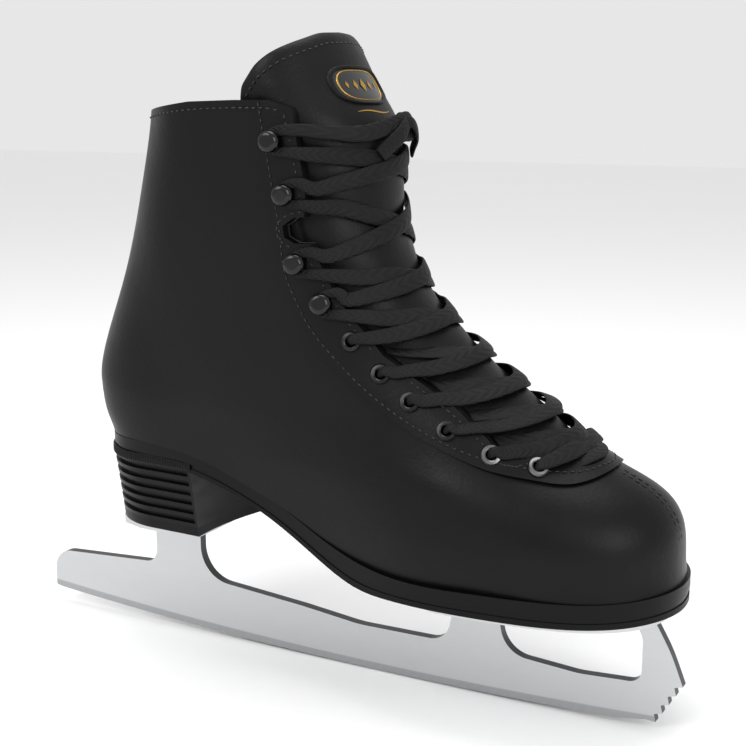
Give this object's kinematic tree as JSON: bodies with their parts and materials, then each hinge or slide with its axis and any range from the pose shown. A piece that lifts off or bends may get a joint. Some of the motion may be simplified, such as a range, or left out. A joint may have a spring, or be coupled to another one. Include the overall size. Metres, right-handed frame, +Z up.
{
  "type": "ice skate",
  "caption": "Black leather figure skate: laced boot with padded tongue, eyelets, hooks and ribbed heel, on a steel blade with toe picks.",
  "frame": {"origin": "on the ground line under the middle of the blade, halfway between its tail and its top pick", "axes": "+X to the toe, +Y to the wearer's inner side, +Z up"},
  "size_m": [0.296, 0.0904, 0.2562],
  "materials": {
    "blade_steel": "satin, ground bright",
    "plate_steel": "satin",
    "screw_steel": "plated",
    "outsole_rubber": "matt",
    "welt_leather": "dyed and waxed edge",
    "heel_plastic": "moulded ribs",
    "board": "pressed fibre board",
    "lining_textile": "brushed lining",
    "boot_leather": "smooth, satin",
    "tongue_leather": "smooth, satin",
    "badge_plastic": "plain window with a gold frame",
    "lace_textile": "flat braid",
    "gloss_black": "gloss black enamel"
  },
  "bodies": {
    "boot": {"backstay": "boot_leather", "blade_runner": "blade_steel", "collar_padding": "lining_textile", "eyelets_left": "gloss_black", "eyelets_right": "gloss_black", "facing_left": "boot_leather", "facing_right": "boot_leather", "facing_stay_left": "lining_textile", "facing_stay_right": "lining_textile", "footbed": "lining_textile", "heel_block": "heel_plastic", "heel_counter": "board", "heel_nails": "screw_steel", "heel_plate": "plate_steel", "heel_plate_screws": "screw_steel", "heel_top_lift": "outsole_rubber", "hook_rivets_left": "screw_steel", "hook_rivets_right": "screw_steel", "hooks_left": "gloss_black", "hooks_right": "gloss_black", "insole_board": "board", "lace": "lace_textile", "lining_left": "lining_textile", "lining_right": "lining_textile", "midsole": "welt_leather", "outsole": "outsole_rubber", "quarter_left": "boot_leather", "quarter_right": "boot_leather", "shank": "plate_steel", "sole_plate": "plate_steel", "sole_plate_screws": "screw_steel", "toe_puff": "board", "tongue_leather": "tongue_leather", "tongue_padding": "lining_textile", "welt": "welt_leather"},
    "tongue_flap": {"tongue_badge": "badge_plastic", "tongue_flap_leather": "tongue_leather", "tongue_flap_padding": "lining_textile"}
  },
  "joints": [
    {"name": "tongue_flap_bend", "type": "hinge", "parent": "boot", "child": "tongue_flap", "pos_m": [0.0205, 0, 0.226], "axis": [0, 1, 0], "range_deg": [-5, 35], "stiffness_Nm_per_rad": 0.3}
  ]
}
